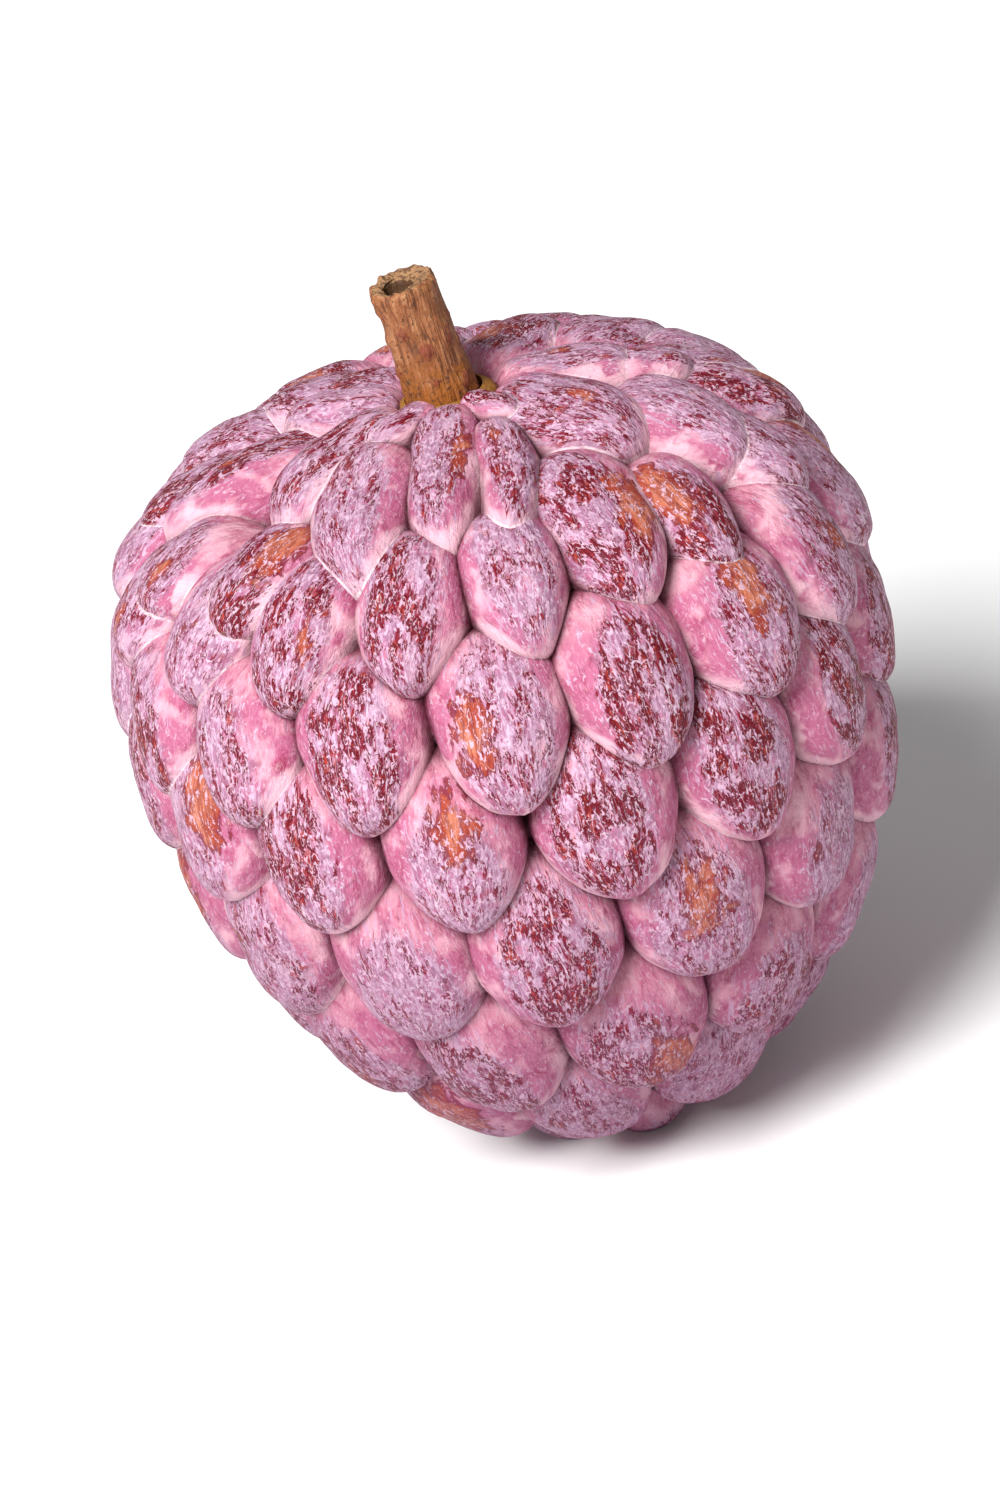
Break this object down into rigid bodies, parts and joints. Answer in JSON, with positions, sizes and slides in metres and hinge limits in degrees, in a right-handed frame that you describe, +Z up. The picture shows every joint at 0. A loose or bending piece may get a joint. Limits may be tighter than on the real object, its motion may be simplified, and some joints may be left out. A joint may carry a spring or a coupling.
{
  "type": "custard apple",
  "caption": "Whole ripe custard apple with a heart-shaped body of raised overlapping carpels and a short, cut, hollow woody stem; stands on a small flat spot.",
  "frame": {"origin": "middle of the small flat spot the fruit stands on, on the fruit's axis", "axes": "+Z up the fruit's axis to the stem, front toward -Y, +X to the right seen from the front"},
  "size_m": [0.0816, 0.0816, 0.0995],
  "materials": {
    "skin": "matt bloomed fruit skin",
    "stem_wood": "dry rough bark"
  },
  "bodies": {
    "root": {"fruit": "skin", "stem": "stem_wood"}
  },
  "joints": []
}
